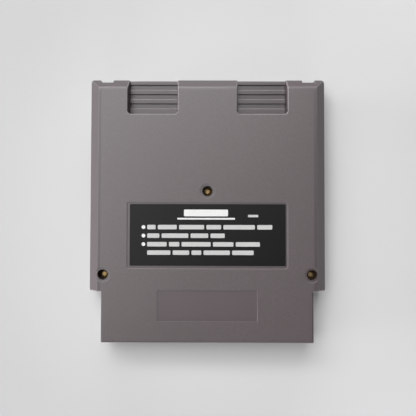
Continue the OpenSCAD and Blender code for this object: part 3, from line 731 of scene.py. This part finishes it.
board = {
    "lacquer": (0.012, 0.085, 0.036), "track": (0.030, 0.155, 0.062), "edge": (0.33, 0.34, 0.20),
    "pitch": 2.5, "finePitch": 1.27, "trackHalf": 0.42, "trackDepth": 0.03,  # mm
    "trackSoft": 0.03,  # a share of the pitch
    "fanY": (-38.4, -38.2),  # where the tracks from the contacts end
    "rimY": (-56.73, -56.25),  # the bare end of the tongue
    "blocks": 0.085, "blockPick": (0.48, 0.5),
    "haze": (0.4, 3.0, 0.3, 0.7), "rough": 0.26, "hazeRough": 0.1, "rimRough": 0.3,
}


# bands of copper along one way, each a track's width
def copperLines(along, pitch):
    half, soft = board["trackHalf"] / pitch, board["trackSoft"]
    return abs(along.math("FRACT", along / pitch) - 0.5).fall(half - soft, half + soft)


# green lacquer over copper tracks, raised a little where a track runs under it
def lacquer():
    b = board
    material, shader, place = startMaterial("greenLacquer")
    x, y = xyz(place)[:2]
    blocks = place.make(
        "TexVoronoi", {"voronoi_dimensions": "2D"}, {"Vector": place, "Scale": b["blocks"]}, out="Color"
    )
    pick = xyz(blocks)[0].rise(*b["blockPick"])
    fan = y.fall(*b["fanY"])
    free = pick * copperLines(x, b["finePitch"]) + (1 - pick) * copperLines(y, b["finePitch"])
    track = fan * copperLines(x + b["pitch"] / 2, b["pitch"]) + (1 - fan) * free
    rim = y.fall(*b["rimY"])
    haze = patches(place, *b["haze"])
    feed(
        shader, Base_Color=rim.mixColour(track.mixColour(b["lacquer"], b["track"]), b["edge"]),
        Roughness=haze * b["hazeRough"] + rim * b["rimRough"] + b["rough"],
        Normal=bump(track, b["trackDepth"]),
    )
    return material


chips = {
    "black": (0.016, 0.016, 0.018), "hazed": (0.026, 0.026, 0.028),
    "haze": (0.15, 2.0, 0.3, 0.7), "grain": (5.0, 3.0, 0.6),
    "rough": 0.5, "grainRough": 0.12, "grainDepth": 0.012,
}


# black epoxy with a fine grain and a paler haze
def epoxy():
    material, shader, place = startMaterial("blackEpoxy")
    grain = noise(place, *chips["grain"])
    feed(
        shader, Base_Color=patches(place, *chips["haze"]).mixColour(chips["black"], chips["hazed"]),
        Roughness=grain * chips["grainRough"] + chips["rough"],
        Normal=bump(grain, chips["grainDepth"]),
    )
    return material


can = {
    "axisY": -30.85, "upperHalf": (11.9, 12.1),  # mm
    "blue": (0.014, 0.036, 0.15), "stripe": (0.55, 0.58, 0.62), "stripeHalf": (0.8, 0.9),
    "wrinkle": (0.7, 3.0), "wrinkleDepth": 0.05, "rough": 0.25, "wrinkleRough": 0.15,
    "rubber": (0.016, 0.016, 0.016), "rubberPaler": 1.8,
    "rubberGrain": (3.0, 3.0), "rubberDepth": 0.02, "rubberRough": 0.68, "rubberRoughMore": 0.15,
}


# blue sleeve with a pale stripe along the top
def sleeve():
    material, shader, place = startMaterial("shrunkSleeve")
    y, z = xyz(place)[1:]
    stripe = abs(y - can["axisY"]).fall(*can["stripeHalf"]) * z.rise(*can["upperHalf"])
    wrinkle = noise(place, *can["wrinkle"])
    feed(
        shader, Base_Color=stripe.mixColour(can["blue"], can["stripe"]),
        Roughness=wrinkle * can["wrinkleRough"] + can["rough"],
        Normal=bump(wrinkle, can["wrinkleDepth"]),
    )
    return material


def rubber():
    material, shader, place = startMaterial("blackRubber")
    grain = noise(place, *can["rubberGrain"])
    feed(
        shader, Base_Color=grain.mixColour(can["rubber"], toned(can["rubber"], can["rubberPaler"])),
        Roughness=grain * can["rubberRoughMore"] + can["rubberRough"],
        Normal=bump(grain, can["rubberDepth"]),
    )
    return material


discs = {
    "coat": (0.50, 0.20, 0.055), "coatDark": (0.36, 0.13, 0.035),
    "run": (0.8, 3.0), "runRange": (0.3, 0.7), "runDepth": 0.08, "rough": 0.25, "runRough": 0.2,
}


def dippedCoat():
    material, shader, place = startMaterial("dippedCoat")
    run = noise(place, *discs["run"])
    feed(
        shader, Base_Color=run.rise(*discs["runRange"]).mixColour(discs["coat"], discs["coatDark"]),
        Roughness=run * discs["runRough"] + discs["rough"], Normal=bump(run, discs["runDepth"]),
    )
    return material


resistor = {
    "beige": (0.56, 0.42, 0.24), "shaded": 0.86, "cloud": (1.2, 2.0),
    "bands": ((0.30, 0.05, 0.02), (0.25, 0.02, 0.20), (0.05, 0.03, 0.02), (0.55, 0.38, 0.10)),
    "bandX": (29.81, 31.06, 32.31, 34.06), "bandHalf": (0.26, 0.32),  # mm
    "grain": 2.0, "rough": 0.2, "grainRough": 0.3,
}


def resistorLacquer():
    material, shader, place = startMaterial("resistorLacquer")
    x = xyz(place)[0]
    beige = resistor["beige"]
    tone = noise(place, *resistor["cloud"]).mixColour(beige, toned(beige, resistor["shaded"]))
    for middle, band in zip(resistor["bandX"], resistor["bands"]):
        tone = abs(x - middle).fall(*resistor["bandHalf"]).mixColour(tone, band)
    grain = noise(place, resistor["grain"])
    feed(shader, Base_Color=tone, Roughness=grain * resistor["grainRough"] + resistor["rough"])
    return material


# radius of the softened edges in mm, and from which bend in radians an edge is softened
softEdges = {"screws": 0.1, "chips": 0.14, "can": 0.3, "discs": 0.5, "bend": 0.7, "segments": 2}


# a copy with its sharp edges softened, in place of the plain node
def softened(nodeName, newName, size, material):
    piece = closedCopy(nodeName, newName)
    bent = softEdges["bend"]
    roundEdges(
        piece, lambda mid, ends, normals, bend: size if bend > bent else 0, size, softEdges["segments"]
    )
    setMaterials(piece, material)
    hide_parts(nodeName)
    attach(piece, "root")


# the screws are painted dark below their heads, as shade down the wells
brass = patchedMetal(
    "dullBrass", metal["brass"], metal["brassStain"], metal["brassMarks"], wellShade=metal["wellShade"]
)
softened("case_screws", "securityScrews", softEdges["screws"], brass)
print("screws finished")

plated = patchedMetal(
    "platedContact", metal["gold"], metal["goldWorn"], metal["goldMarks"], metallic=metal["goldMetallic"]
)
for name in ("back_contacts", "front_contacts"):
    setMaterials(nodes[name], plated)
setMaterials(nodes["circuit_board"], lacquer())
print("board and contacts finished")

tinned = patchedMetal("tinnedLead", metal["tin"], metal["tinDull"], metal["tinMarks"])
blackEpoxy = epoxy()
for chip in ("program_rom", "graphics_rom", "lockout_chip", "bank_switch_chip"):
    softened(chip, chip.split("_")[0] + "Chip", softEdges["chips"], blackEpoxy)
    setMaterials(nodes[chip + "_legs"], tinned)
softened("electrolytic_can", "sleevedCan", softEdges["can"], sleeve())
softened("ceramic_capacitors", "discCapacitors", softEdges["discs"], dippedCoat())
for name in ("electrolytic_wires", "ceramic_capacitor_wires", "resistor_wires", "solder_joints"):
    setMaterials(nodes[name], tinned)
setMaterials(nodes["electrolytic_bung"], rubber())
setMaterials(nodes["resistors"], resistorLacquer())
print("chips, capacitors and resistors finished")
